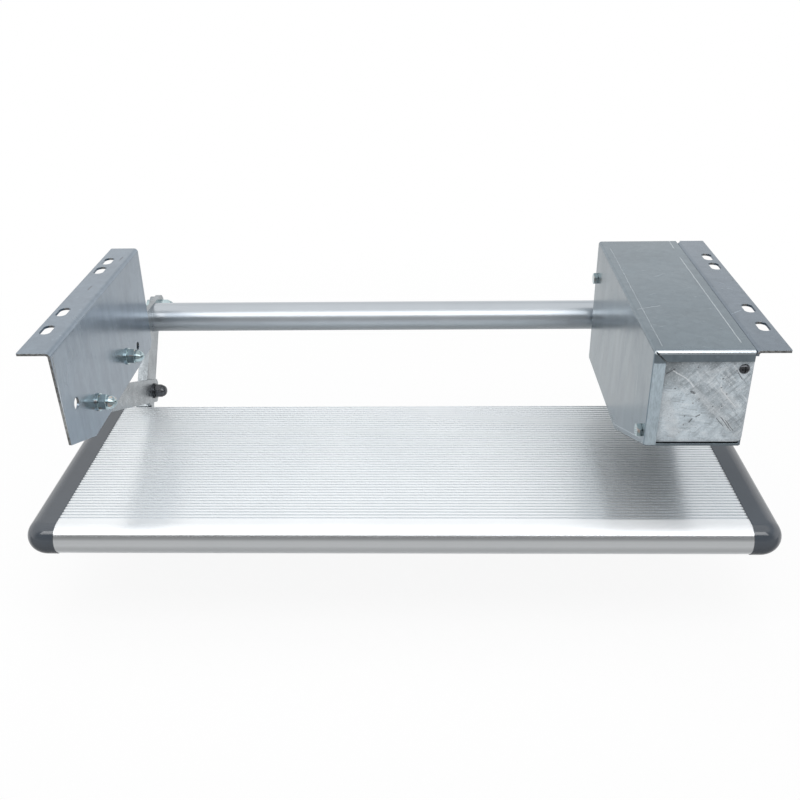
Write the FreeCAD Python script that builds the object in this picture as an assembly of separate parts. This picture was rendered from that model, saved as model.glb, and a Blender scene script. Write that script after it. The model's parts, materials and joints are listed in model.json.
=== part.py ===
import FreeCAD, Part
import math
import os

# Entry step for a caravan door: two folded brackets, a four-bar linkage on
# each side driven by a gearmotor, and a ribbed tread with moulded end caps.
# X points forward out of the doorway, Y to the right, Z up, all in millimetres.
# The origin is at the middle of the four outer flange slots, on top of the flanges.
# Many places are measured "back" from the flanges' front edge and "down" from their top.
# Cutting bodies run about 1 mm past the faces that they cut.

V = FreeCAD.Vector

# Folded sheet of the brackets
sheet = 2.0
bend_inside = 1.5
clear_width = 529.0
flange_reach = 26.0
left_flange_short = 12.5
right_flange_short = 2.5
flange_corner = 1.0
plate_front_back = 5.0
plate_front_depth = 83.5
plate_clip_back = 57.5
plate_below_hole = 20.0
plate_rear_corner = 8.0
plate_soft_corner = 2.0

# Slots in the flanges, and two plain holes in the left plate
slot_edge_gap = 8.0
slot_width = 9.0
slot_length = 18.0
slot_end_share = 0.999
first_slot_back = 45.0
second_slot_back = 82.0
third_slot_gap = 25.0
fourth_slot_inset = 37.0
front_hole_back = 31.0
front_hole_down = 59.0
front_hole_bore = 10.5
rear_hole_inset = 44.5
rear_hole_down = 85.0
rear_hole_bore = 8.0

# Pivots at rest: rear link from A to D, front link from B to C, arm from D to C
pivot_a_back = 165.4
pivot_a_down = 80.3
pivot_b_back = 76.2
pivot_b_down = 82.0
pivot_c_behind_tread = 3.0
pivot_c_above_tread = 18.0
pivot_d_rise = 3.3

# Links and arms, side by side outside the plates
link_thick = 5.0
link_half_width = 12.0
link_end_overhang = 13.0
link_end_clip = 4.0
running_gap = 0.1
side_gap = 0.3
arm_thick = 4.0
arm_end_overhang = 9.0
arm_end_round = 8.5
arm_end_front = 12.9
arm_flange_reach = 18.2
arm_flange_start = 21.0
arm_bend = 3.0
arm_rear_offset = 13.3
arm_front_offset = 12.3
arm_edge_turn = 3.14
arm_toe_run = 6.0
arm_toe_round = 8.0
arm_neck_gap = 1.2
arm_neck_rise = 4.0
arm_neck_round = 1.2
arm_heel_gap = 9.0
foot_length = 97.0
arm_bolt_in = 10.1

# Crossbar
bar_down = 89.8
bar_radius = 15.0
bar_wall = 2.0
bar_lobe = 15.5

# Fasteners
bolt_radius = 4.0
fit = 0.05
press_fit = 0.01
bush_wall = 1.0
washer_thick = 1.6
washer_radius = 8.0
nut_flats = 13.0
nut_height = 6.5
hexagon_face_share = 0.97
hexagon_slope = 0.6
head_height = 5.3
lock_washer_radius = 7.4
lock_washer_thick = 2.0
acorn_hex = 6.5
acorn_height = 15.0
low_acorn_height = 11.5
acorn_dome = 6.1
acorn_waist_share = 0.80
acorn_waist_run = 0.62
acorn_wall = 3.5
thread_end = 2.5

# Cover of the gearmotor
cover_sheet = 2.0
cover_width = 75.0
cover_length = 256.5
cover_bar_gap = 12.0
cover_bottom_gap = 11.2
cover_front_depth = 82.0
cover_clip_back = 104.5
cover_edge = 2.5
cover_corner = 3.0
cover_rear_corner = 4.0
cover_least_corner = 0.5
front_lip = 9.0
front_side_lip = 9.3
rear_lip = 10.0
mitre_gap = 1.2
mitre_edge = 1.2
mitre_inset = 2.0
panel_recess = 3.5
panel_bottom_gap = 2.0
panel_corner = 5.5
panel_side_gap = 0.5
rear_recess = 3.0
tab_height = 16.0
tab_length = 17.0
tab_bend_inside = 0.5

# Screws of the cover and of its front panel
cover_screw_radius = 3.0
cover_screw_flats = 10.0
cover_screw_head = 4.0
cover_screw_length = 10.0
cover_screw_gap = 0.3
front_screw_back = 13.8
front_screw_rise = 7.0
rear_screw_inset = 10.2
rear_screw_down = 35.5
panel_screw_head = 4.0
panel_screw_radius = 2.0
panel_screw_dome = 2.2
panel_screw_crown = 1.25
panel_screw_crown_back = 0.65
panel_screw_length = 8.0
panel_screw_down = 16.6
cross_width = 1.0
cross_length = 4.8
cross_floor = 0.35

# Gearmotor
gearbox_radius = 36.0
gearbox_depth = 45.5
worm_block_half = 24.0
worm_block_round = 6.0
worm_block_reach = 38.0
worm_block_rear = 30.0
motor_down = 48.0
motor_radius = 25.0
motor_length = 97.0
motor_end_round = 6.0
motor_boss_radius = 9.0
motor_boss_reach = 3.5
motor_side_gap = 4.0
spigot_radius = 11.0
shaft_radius = 7.0
shaft_depth = 28.0
shaft_flats = 9.6
shaft_thread_radius = 5.0
shaft_washer_radius = 10.0
shaft_spacer_radius = 12.0
shaft_washer_thick = 2.0
shaft_nut_flats = 17.0
shaft_nut_height = 8.0
gearbox_screw_circle = 28.0
gearbox_screw_count = 3
gearbox_screw_radius = 3.0
gearbox_screw_length = 18.0
countersink_radius = 5.6

# Cable grommet in the rear panel
grommet_down = 100.0
grommet_in = 30.0
grommet_radius = 8.0
grommet_neck = 6.0
grommet_bore = 3.0
grommet_flange = 2.5

# Tread
tread_cover_gap = 46.5
tread_thick = 28.0
tread_nose_back = 11.0
tread_rear_inset = 19.5
tread_end_room = 6.8
tread_shift = 3.0
tread_wall = 3.5
tread_web = 2.5
smooth_length = 8.0
rib_pitch = 4.376
groove_width = 1.9
groove_floor = 1.1
groove_depth = 1.1
lip_overhang = 23.0
lip_bead = 3.0
lip_bead_height = 5.0
tee_slot_inset = 14.0
tee_slot_pitch = 35.0
tee_flats_gap = 0.4
tee_height = 6.2
tee_mouth = 8.8
tee_lip = 3.0
chamber_corner = 1.5
front_chambers = 3

# End caps
cap_width = 28.2
cap_proud = 0.6
cap_plan_radius = 20.0
cap_rear_gap = 1.5
cap_plug_length = 14.0
cap_plug_gap = 0.3

# Worked out from the sizes above
left_flange_length = cover_length - left_flange_short
right_flange_length = cover_length - right_flange_short
fourth_slot_back = left_flange_length - fourth_slot_inset
third_slot_back = fourth_slot_back - third_slot_gap
rear_hole_back = left_flange_length - rear_hole_inset
rear_screw_back = cover_length - rear_screw_inset
front_screw_down = cover_front_depth - front_screw_rise
cover_depth = pivot_a_down + gearbox_radius + cover_bottom_gap
tread_top_down = cover_depth + tread_cover_gap
bar_back = cover_length + cover_bar_gap + bar_radius
flange_front = (first_slot_back + fourth_slot_back) / 2
plate_in = clear_width / 2
plate_out = plate_in + sheet
plate_depth = rear_hole_down + plate_below_hole
flange_edge = plate_in + flange_reach
slot_line = flange_edge - slot_edge_gap
bend_outside = bend_inside + sheet
link_in = plate_out + washer_thick + running_gap
link_out = link_in + link_thick
arm_in = link_out + side_gap
arm_out = arm_in + arm_thick
cover_in = plate_in - cover_width
cover_gap_y = plate_in - side_gap
tread_half = arm_in + arm_flange_reach + tread_end_room
tread_radius = tread_thick / 2
tread_rear_back = cover_length - tread_rear_inset
tread_body_rear_back = tread_rear_back - lip_overhang
slot_rear_back = tread_body_rear_back - tee_slot_inset
slot_front_back = slot_rear_back - tee_slot_pitch
pivot_c_back = tread_rear_back + pivot_c_behind_tread
pivot_c_down = tread_top_down - pivot_c_above_tread
pivot_d_back = bar_back + bar_radius + lock_washer_radius + running_gap
pivot_d_down = bar_down - pivot_d_rise


def at(back, down):
    """X and Z of a place measured back and down from the flange's front top edge."""
    return (flange_front - back, -down)


pivot_a = at(pivot_a_back, pivot_a_down)
pivot_b = at(pivot_b_back, pivot_b_down)
pivot_c = at(pivot_c_back, pivot_c_down)
pivot_d = at(pivot_d_back, pivot_d_down)
bar_place = at(bar_back, bar_down)


def rounded_face(corners):
    """Flat face through corner points, each given with the radius of its rounding."""
    count = len(corners)
    enters = []
    leaves = []
    arcs = []
    for index in range(count):
        here, radius = corners[index]
        to_last = corners[index - 1][0] - here
        to_next = corners[(index + 1) % count][0] - here
        to_last.normalize()
        to_next.normalize()
        half_turn = to_last.getAngle(to_next) / 2
        reach = radius / math.tan(half_turn)
        middle = to_last + to_next
        middle.normalize()
        enter = here + to_last * reach
        leave = here + to_next * reach
        top = here + middle * (radius / math.sin(half_turn) - radius)
        enters.append(enter)
        leaves.append(leave)
        arcs.append(Part.Arc(enter, top, leave).toShape() if radius > 0 else None)
    edges = []
    for index in range(count):
        if arcs[index] is not None:
            edges.append(arcs[index])
        start = leaves[index]
        end = enters[(index + 1) % count]
        if start.distanceToPoint(end) > 1e-6:
            edges.append(Part.LineSegment(start, end).toShape())
    return Part.Face(Part.Wire(edges))


def slab_y(corners, y0, y1):
    """Outline in X and Z, with corner radii, carried along Y."""
    face = rounded_face([(V(x, y0, z), radius) for x, z, radius in corners])
    return face.extrude(V(0, y1 - y0, 0))


def slab_x(corners, x0, x1):
    """Outline in Y and Z, with corner radii, carried along X."""
    face = rounded_face([(V(x0, y, z), radius) for y, z, radius in corners])
    return face.extrude(V(x1 - x0, 0, 0))


def slab_z(corners, z0, z1):
    """Outline in X and Y, with corner radii, carried along Z."""
    face = rounded_face([(V(x, y, z0), radius) for x, y, radius in corners])
    return face.extrude(V(0, 0, z1 - z0))


def block(x0, x1, y0, y1, z0, z1):
    return Part.makeBox(x1 - x0, y1 - y0, z1 - z0, V(x0, y0, z0))


def rod_y(place, radius, y0, y1):
    return Part.makeCylinder(radius, y1 - y0, V(place[0], y0, place[1]), V(0, 1, 0))


def rod_x(radius, y, z, x0, x1):
    return Part.makeCylinder(radius, x1 - x0, V(x0, y, z), V(1, 0, 0))


def ring_y(place, outer, inner, y0, y1):
    return rod_y(place, outer, y0, y1).cut(rod_y(place, inner, y0, y1))


def turned(profile, place, y0, way):
    """Revolve a half profile of (radius, run) points about a Y axis at a place."""
    points = [V(radius, run * way, 0) for radius, run in profile]
    face = Part.Face(Part.makePolygon(points + [points[0]]))
    solid = face.revolve(V(0, 0, 0), V(0, 1, 0), 360)
    solid.translate(V(place[0], y0, place[1]))
    return solid


def hexagon_y(place, flats, y0, y1):
    """Hexagon along Y with its end corners turned off, as nuts and heads have."""
    corner = flats / math.sqrt(3)
    points = []
    for step in range(7):
        angle = math.radians(60 * step + 30)
        points.append(V(place[0] + corner * math.cos(angle), y0, place[1] + corner * math.sin(angle)))
    prism = Part.Face(Part.makePolygon(points)).extrude(V(0, y1 - y0, 0))
    chamfer = corner - flats / 2
    run = y1 - y0
    slope = chamfer * hexagon_slope
    flat_edge = flats / 2 * hexagon_face_share
    envelope = turned([(0, 0), (flat_edge, 0), (corner, slope), (corner, run - slope),
                       (flat_edge, run), (0, run)], place, y0, 1)
    return prism.common(envelope)


def acorn_nut(place, y0, height):
    """Closed nut whose open face is at y0 and whose dome points towards the middle."""
    hexagon = hexagon_y(place, nut_flats, y0 - acorn_hex, y0)
    dome_run = height - acorn_hex
    shoulder = V(place[0] + acorn_dome, y0 - acorn_hex, place[1])
    waist_y = y0 - acorn_hex - dome_run * acorn_waist_run
    waist = V(place[0] + acorn_dome * acorn_waist_share, waist_y, place[1])
    tip = V(place[0], y0 - height, place[1])
    base = V(place[0], y0 - acorn_hex, place[1])
    rim = [Part.Arc(shoulder, waist, tip).toShape()]
    rim.append(Part.LineSegment(tip, base).toShape())
    rim.append(Part.LineSegment(base, shoulder).toShape())
    dome = Part.Face(Part.Wire(rim)).revolve(base, V(0, 1, 0), 360)
    bore = rod_y(place, bolt_radius + fit, y0 - height + acorn_wall, y0)
    return hexagon.fuse(dome).removeSplitter().cut(bore)


def other_side(shape):
    """The same piece on the other side of the step."""
    return shape.mirror(V(0, 0, 0), V(0, 1, 0))


def slot_cutter(back, y):
    x = flange_front - back
    half = slot_width / 2
    reach = slot_length / 2
    end_round = half * slot_end_share
    corners = [(x - reach, y - half, end_round), (x + reach, y - half, end_round),
               (x + reach, y + half, end_round), (x - reach, y + half, end_round)]
    return slab_z(corners, -sheet - 1, 1)


def cut_slots(shape):
    for back in (first_slot_back, second_slot_back, third_slot_back, fourth_slot_back):
        shape = shape.cut(slot_cutter(back, slot_line))
    return shape


def folded_flange(depth, length):
    """Flange with its bend and a plate of the given depth, on the right side."""
    back_x = flange_front - length
    corners = [(plate_in, -depth, 0), (plate_in, 0, bend_outside), (flange_edge, 0, 0),
               (flange_edge, -sheet, 0), (plate_out, -sheet, bend_inside), (plate_out, -depth, 0)]
    fold = slab_x(corners, back_x, flange_front)
    plan = [(back_x, plate_in - 1, 0), (flange_front, plate_in - 1, 0),
            (flange_front, flange_edge, flange_corner), (back_x, flange_edge, flange_corner)]
    return fold.common(slab_z(plan, -depth, 0))


def pivot_bores(shape, places):
    for place in places:
        shape = shape.cut(rod_y(place, bolt_radius + fit, plate_in - 1, plate_out + 1))
    return shape


def make_left_bracket():
    outline = [at(0, -1) + (0,), at(0, bend_outside) + (0,),
               at(plate_front_back, plate_front_depth) + (plate_soft_corner,),
               at(plate_clip_back, plate_depth) + (plate_soft_corner,),
               at(left_flange_length, plate_depth) + (plate_rear_corner,),
               at(left_flange_length, -1) + (0,)]
    bracket = folded_flange(plate_depth, left_flange_length)
    bracket = bracket.common(slab_y(outline, plate_in - 1, flange_edge + 1))
    bracket = cut_slots(pivot_bores(bracket, [pivot_a, pivot_b]))
    front_hole = at(front_hole_back, front_hole_down)
    rear_hole = at(rear_hole_back, rear_hole_down)
    bracket = bracket.cut(rod_y(front_hole, front_hole_bore / 2, plate_in - 1, plate_out + 1))
    bracket = bracket.cut(rod_y(rear_hole, rear_hole_bore / 2, plate_in - 1, plate_out + 1))
    return other_side(bracket)


def cover_outline(inset):
    """Side outline of the cover, moved inwards by an even amount."""
    run = cover_clip_back
    rise = cover_depth - cover_front_depth
    slope = rise / run
    shift = inset * math.hypot(run, rise) / run
    soft = max(cover_corner - inset, cover_least_corner)
    rear_soft = max(cover_rear_corner - inset, cover_least_corner)
    bottom = cover_depth - inset
    clip_front = cover_front_depth + inset * slope - shift
    clip_end = (bottom - cover_front_depth + shift) / slope
    return [at(inset, inset) + (soft,), at(inset, clip_front) + (soft,),
            at(clip_end, bottom) + (soft,), at(cover_length - inset, bottom) + (rear_soft,),
            at(cover_length - inset, inset) + (soft,)]


def screw_places():
    return [at(front_screw_back, front_screw_down), at(rear_screw_back, rear_screw_down)]


def make_right_bracket():
    front_x = flange_front - panel_recess
    rear_x = flange_front - cover_length + rear_recess
    inner_y = cover_in + cover_sheet
    hidden = panel_side_gap + bend_inside
    tab_bend = tab_bend_inside + sheet
    plan = [(front_x - tab_length, inner_y, 0), (front_x, inner_y, tab_bend),
            (front_x, plate_out, bend_outside), (rear_x, plate_out, bend_outside),
            (rear_x, inner_y, tab_bend), (rear_x + tab_length, inner_y, 0),
            (rear_x + tab_length, inner_y + sheet, 0), (rear_x + sheet, inner_y + sheet, tab_bend_inside),
            (rear_x + sheet, plate_in, bend_inside), (front_x - sheet, plate_in, bend_inside),
            (front_x - sheet, inner_y + sheet, tab_bend_inside), (front_x - tab_length, inner_y + sheet, 0)]
    top = -(cover_sheet + panel_side_gap)
    folded = slab_z(plan, -cover_depth, top)
    plate_zone = slab_y(cover_outline(0), cover_gap_y, plate_out)
    inner_zone = slab_y(cover_outline(cover_sheet), inner_y, cover_gap_y)
    folded = folded.common(plate_zone.fuse(inner_zone))
    # Beside the panels the sheet is cut back, so that only a tab reaches each screw
    front_screw, rear_screw = screw_places()
    tab_half = tab_height / 2
    side = inner_y + sheet + hidden
    for screw, x0, x1 in ((front_screw, front_x - tab_length - 1, front_x - sheet),
                          (rear_screw, rear_x + sheet, rear_x + tab_length + 1)):
        folded = folded.cut(block(x0, x1, inner_y - 1, side, screw[1] + tab_half, 0))
        folded = folded.cut(block(x0, x1, inner_y - 1, side, -cover_depth, screw[1] - tab_half))
    # The front panel ends above the cover's lip and has a round lower corner
    low = panel_bottom_gap - cover_front_depth
    bend_x = front_x - bend_outside
    folded = folded.cut(block(bend_x, front_x + 1, inner_y - 1, plate_out + 1, -cover_depth, low))
    corner_y = plate_out - panel_corner
    corner_z = low + panel_corner
    corner = block(bend_x, front_x + 1, corner_y, plate_out + 1, low - 1, corner_z)
    corner_round = rod_x(panel_corner, corner_y, corner_z, bend_x - 1, front_x + 1)
    folded = folded.cut(corner.cut(corner_round))
    flange = folded_flange(bend_outside + 1, right_flange_length)
    flange_back_x = flange_front - right_flange_length
    relief = block(flange_back_x - 1, flange_back_x + bend_outside, plate_in - 1,
                   plate_in + bend_outside, -bend_outside - 2, 1)
    bracket = folded.fuse(flange.cut(relief)).removeSplitter()
    bracket = cut_slots(pivot_bores(bracket, [pivot_b]))
    bracket = bracket.cut(rod_y(pivot_a, spigot_radius + 2 * fit, plate_in - 1, plate_out + 1))
    for place in gearbox_screw_places():
        bracket = bracket.cut(countersink(place, fit))
    for place in screw_places():
        bracket = bracket.cut(rod_y(place, cover_screw_radius + fit, inner_y - 1, inner_y + sheet + 1))
    dark = panel_screw_place()
    bracket = bracket.cut(rod_x(panel_screw_radius + fit, dark[0], dark[1], front_x - sheet - 1, front_x + 1))
    hole = grommet_place()
    bracket = bracket.cut(rod_x(grommet_neck + fit, hole[0], hole[1], rear_x - 1, rear_x + sheet + 1))
    return bracket


def make_motor_cover():
    outer = slab_y(cover_outline(0), cover_in, cover_gap_y)
    edges = []
    for edge in outer.Edges:
        box = edge.BoundBox
        if abs(box.YMin - cover_in) < 1e-4 and abs(box.YMax - cover_in) < 1e-4:
            edges.append(edge)
    outer = outer.makeFillet(cover_edge, edges)
    cover = outer.cut(slab_y(cover_outline(cover_sheet), cover_in + cover_sheet, plate_out))
    x_front = flange_front
    x_rear = flange_front - cover_length
    lip_top = -front_lip
    lip_side = cover_in + front_side_lip
    cover = cover.cut(block(x_front - cover_sheet - 1, x_front + 1, lip_side, plate_out,
                            -cover_depth, lip_top))
    cover = cover.cut(block(x_rear - 1, x_rear + cover_sheet + 1, cover_in + rear_lip, plate_out,
                            -cover_depth + rear_lip, -rear_lip))
    # A narrow open mitre parts the top lip from the side lip
    mitre = block(x_front - cover_sheet - 0.5, x_front + 1, -front_lip, front_lip,
                  -mitre_gap / 2, mitre_gap / 2)
    mitre.rotate(V(0, 0, 0), V(1, 0, 0), -45)
    mitre.translate(V(0, lip_side - mitre_inset, lip_top + mitre_inset))
    keep = block(x_front - cover_sheet - 1, x_front + 2, cover_in + mitre_edge, plate_out,
                 -cover_depth, -mitre_edge)
    cover = cover.cut(mitre.common(keep))
    for place in screw_places():
        bore = cover_screw_radius + cover_screw_gap
        cover = cover.cut(rod_y(place, bore, cover_in - 1, cover_in + cover_sheet + 1))
    return cover


def make_cover_screws():
    screws = []
    for place in screw_places():
        head = hexagon_y(place, cover_screw_flats, cover_in - cover_screw_head, cover_in)
        shank = rod_y(place, cover_screw_radius, cover_in - 1, cover_in + cover_screw_length)
        screws.append(head.fuse(shank).removeSplitter())
    return screws


def panel_screw_place():
    return (plate_out - bend_outside - panel_screw_head - side_gap, -panel_screw_down)


def make_panel_screw():
    y, z = panel_screw_place()
    x = flange_front - panel_recess
    shank = rod_x(panel_screw_radius, y, z, x - panel_screw_length, x)
    disc = rod_x(panel_screw_head, y, z, x, x + panel_screw_dome)
    crown_x = x - panel_screw_head * panel_screw_crown_back
    crown = Part.makeSphere(panel_screw_head * panel_screw_crown, V(crown_x, y, z))
    head = disc.common(crown)
    bottom = x + panel_screw_dome * cross_floor
    top = x + panel_screw_dome
    half = cross_width / 2
    reach = cross_length / 2
    cross = block(bottom, top, y - half, y + half, z - reach, z + reach)
    other = block(bottom, top, y - reach, y + reach, z - half, z + half)
    return [head.fuse(shank).removeSplitter().cut(cross).cut(other)]


def gearbox_screw_places():
    places = []
    for index in range(gearbox_screw_count):
        angle = math.radians(90 + index * 360 / gearbox_screw_count)
        places.append((pivot_a[0] + gearbox_screw_circle * math.cos(angle),
                       pivot_a[1] + gearbox_screw_circle * math.sin(angle)))
    return places


def countersink(place, gap):
    """Countersunk head flush with the plate's outer face, and its shank."""
    big = countersink_radius + gap
    small = gearbox_screw_radius + gap
    cone = turned([(0, 0), (big, 0), (small, big - small), (0, big - small)], place, plate_out, -1)
    shank = rod_y(place, small, plate_out - gearbox_screw_length, plate_out)
    return cone.fuse(shank).removeSplitter()


def motor_axis():
    return (plate_in - motor_side_gap - motor_radius, -motor_down)


def make_gearbox_housing():
    wheel_case = rod_y(pivot_a, gearbox_radius, plate_in - gearbox_depth, plate_in)
    y, z = motor_axis()
    half = worm_block_half
    worm = [(y - half, z - half, worm_block_round), (y + half, z - half, worm_block_round),
            (y + half, z + half, worm_block_round), (y - half, z + half, worm_block_round)]
    worm_case = slab_x(worm, pivot_a[0] - worm_block_rear, pivot_a[0] + worm_block_reach)
    spigot = rod_y(pivot_a, spigot_radius, plate_in - 1, plate_out)
    housing = wheel_case.fuse([worm_case, spigot]).removeSplitter()
    housing = housing.cut(rod_y(pivot_a, shaft_radius + fit, plate_out - shaft_depth, plate_out + 1))
    for place in gearbox_screw_places():
        housing = housing.cut(countersink(place, fit))
    return housing


def make_motor_can():
    y, z = motor_axis()
    x = pivot_a[0] + worm_block_reach
    can = rod_x(motor_radius, y, z, x, x + motor_length)
    far = [edge for edge in can.Edges if edge.BoundBox.XMin > x + motor_length - 1e-3]
    can = can.makeFillet(motor_end_round, far)
    boss = rod_x(motor_boss_radius, y, z, x + motor_length - 1, x + motor_length + motor_boss_reach)
    return can.fuse(boss).removeSplitter()


def grommet_place():
    return (plate_in - grommet_in, -grommet_down)


def make_cable_grommet():
    rear_x = flange_front - cover_length + rear_recess
    y, z = grommet_place()
    start = rear_x - grommet_flange
    end = rear_x + sheet + grommet_flange
    points = [V(grommet_bore, start, 0), V(grommet_radius - 1, start, 0), V(grommet_radius, start + 1, 0),
              V(grommet_radius, rear_x, 0), V(grommet_neck, rear_x, 0), V(grommet_neck, rear_x + sheet, 0),
              V(grommet_radius, rear_x + sheet, 0), V(grommet_radius, end - 1, 0),
              V(grommet_radius - 1, end, 0), V(grommet_bore, end, 0)]
    ring = Part.Face(Part.makePolygon(points + [points[0]])).revolve(V(0, 0, 0), V(0, 1, 0), 360)
    ring.rotate(V(0, 0, 0), V(0, 0, 1), -90)
    ring.translate(V(0, y, z))
    return ring


def link_bore(shape, place):
    return shape.cut(rod_y(place, bolt_radius + bush_wall, link_in - 1, link_out + 1))


def strap(first, second, radius, y0, y1):
    """Flat bar with round ends about two places."""
    run = V(second[0] - first[0], 0, second[1] - first[1])
    across = V(-run.z, 0, run.x)
    across.normalize()
    offset = across * radius
    one = V(first[0], y0, first[1])
    two = V(second[0], y0, second[1])
    wire = Part.makePolygon([one + offset, two + offset, two - offset, one - offset, one + offset])
    middle = Part.Face(wire).extrude(V(0, y1 - y0, 0))
    return middle.fuse([rod_y(first, radius, y0, y1), rod_y(second, radius, y0, y1)]).removeSplitter()


def rear_link_blank():
    link = strap(pivot_a, pivot_d, link_half_width, link_in, link_out)
    return link.fuse(rod_y(bar_place, bar_lobe, link_in, link_out)).removeSplitter()


def make_left_rear_link():
    link = link_bore(rear_link_blank(), pivot_a)
    link = link.cut(rod_y(pivot_d, bolt_radius + press_fit, link_in - 1, link_out + 1))
    return other_side(link)


def shaft_section(gap):
    """Round shaft end with two flats, which drives the right rear link."""
    core = rod_y(pivot_a, shaft_radius + gap, link_in, link_out)
    half = shaft_flats / 2 + gap
    flats = block(pivot_a[0] - shaft_radius - 1, pivot_a[0] + shaft_radius + 1, link_in, link_out,
                  pivot_a[1] - half, pivot_a[1] + half)
    return core.common(flats)


def make_right_rear_link():
    link = rear_link_blank().cut(shaft_section(press_fit))
    return link.cut(rod_y(pivot_d, bolt_radius + press_fit, link_in - 1, link_out + 1))


def make_crossbar():
    return ring_y(bar_place, bar_radius, bar_radius - bar_wall, -link_in, link_in)


def make_output_shaft():
    body = rod_y(pivot_a, shaft_radius, plate_out - shaft_depth + 1, link_in)
    thread_run = shaft_washer_thick + shaft_nut_height + thread_end
    thread = rod_y(pivot_a, shaft_thread_radius, link_out, link_out + thread_run)
    return body.fuse([shaft_section(0), thread]).removeSplitter()


def make_shaft_washer():
    return ring_y(pivot_a, shaft_washer_radius, shaft_thread_radius + fit, link_out,
                  link_out + shaft_washer_thick)


def make_shaft_nut():
    start = link_out + shaft_washer_thick
    nut = hexagon_y(pivot_a, shaft_nut_flats, start, start + shaft_nut_height)
    return nut.cut(rod_y(pivot_a, shaft_thread_radius + fit, start - 1, start + shaft_nut_height + 1))


def bush(place, y0, y1):
    return ring_y(place, bolt_radius + bush_wall - press_fit, bolt_radius + fit, y0, y1)


def hexagon_bolt(place, head_at, length, radius):
    """Bolt with its head outside head_at and its shank pointing to the middle."""
    head = hexagon_y(place, nut_flats, head_at, head_at + head_height)
    shank = rod_y(place, radius, head_at - length, head_at + 1)
    return head.fuse(shank).removeSplitter()


pivot_head_at = link_out + 2 * running_gap + washer_thick
pivot_places = [(pivot_a, -1), (pivot_b, -1), (pivot_b, 1)]


def on_pivots(make):
    """One piece at each plain pivot, on the side where that pivot is."""
    pieces = []
    for place, side in pivot_places:
        piece = make(place)
        pieces.append(piece if side > 0 else other_side(piece))
    return pieces


def make_pivot_bolt(place):
    nut_at = plate_in - washer_thick
    length = pivot_head_at - nut_at + acorn_height - acorn_wall - running_gap
    return hexagon_bolt(place, pivot_head_at, length, bolt_radius)


def make_pivot_head_washer(place):
    return ring_y(place, washer_radius, bolt_radius + fit, pivot_head_at - washer_thick, pivot_head_at)


def make_pivot_spacer(place):
    return ring_y(place, washer_radius, bolt_radius + fit, plate_out, plate_out + washer_thick)


def make_pivot_washer(place):
    return ring_y(place, washer_radius, bolt_radius + fit, plate_in - washer_thick, plate_in)


def make_pivot_acorn(place):
    return acorn_nut(place, plate_in - washer_thick, acorn_height)


def make_shaft_spacer():
    return ring_y(pivot_a, shaft_spacer_radius, shaft_radius + fit, plate_out, plate_out + washer_thick)


def make_front_link():
    run = V(pivot_c[0] - pivot_b[0], 0, pivot_c[1] - pivot_b[1])
    length = run.Length
    along = V(run)
    along.normalize()
    across = V(-along.z, 0, along.x)
    base = V(pivot_b[0], link_in, pivot_b[1])
    end = length + link_end_overhang
    half = link_half_width
    profile = [(0, -half), (end - link_end_clip, -half), (end, -half + link_end_clip),
               (end, half - link_end_clip), (end - link_end_clip, half), (0, half)]
    points = [base + along * reach + across * side for reach, side in profile]
    flat = Part.Face(Part.makePolygon(points + [points[0]])).extrude(V(0, link_thick, 0))
    link = flat.fuse(rod_y(pivot_b, half, link_in, link_out)).removeSplitter()
    link = link_bore(link, pivot_b)
    return link.cut(rod_y(pivot_c, bolt_radius + press_fit, link_in - 1, link_out + 1))


def make_link_bush():
    return bush(pivot_b, link_in, link_out)


def make_link_stud():
    reach = washer_thick + low_acorn_height - acorn_wall - running_gap
    return rod_y(pivot_c, bolt_radius, link_in - reach, link_out)


def make_link_washer():
    return ring_y(pivot_c, washer_radius, bolt_radius + fit, link_in - washer_thick, link_in)


def make_link_acorn():
    return acorn_nut(pivot_c, link_in - washer_thick, low_acorn_height)


def arm_frame():
    """Unit vectors along the arm's rear edge, downwards, and square to it, rearwards."""
    pitch = math.atan2(pivot_d[1] - pivot_c[1], pivot_c[0] - pivot_d[0]) + math.radians(arm_edge_turn)
    along = (math.cos(pitch), -math.sin(pitch))
    rearward = (-math.sin(pitch), -math.cos(pitch))
    return along, rearward


def arm_point(place, run, out):
    along, rearward = arm_frame()
    return (place[0] + along[0] * run + rearward[0] * out, place[1] + along[1] * run + rearward[1] * out)


def arm_heel():
    """Where the arm's rear edge turns straight down, and the line under its foot."""
    top = -tread_top_down
    heel_x = flange_front - tread_rear_back - arm_heel_gap
    start = arm_point(pivot_d, 0, arm_rear_offset)
    along = arm_frame()[0]
    run = (start[0] - heel_x) / -along[0]
    heel_z = start[1] + along[1] * run
    foot_z = top - tread_thick - arm_thick
    return heel_x, heel_z, foot_z


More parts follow.
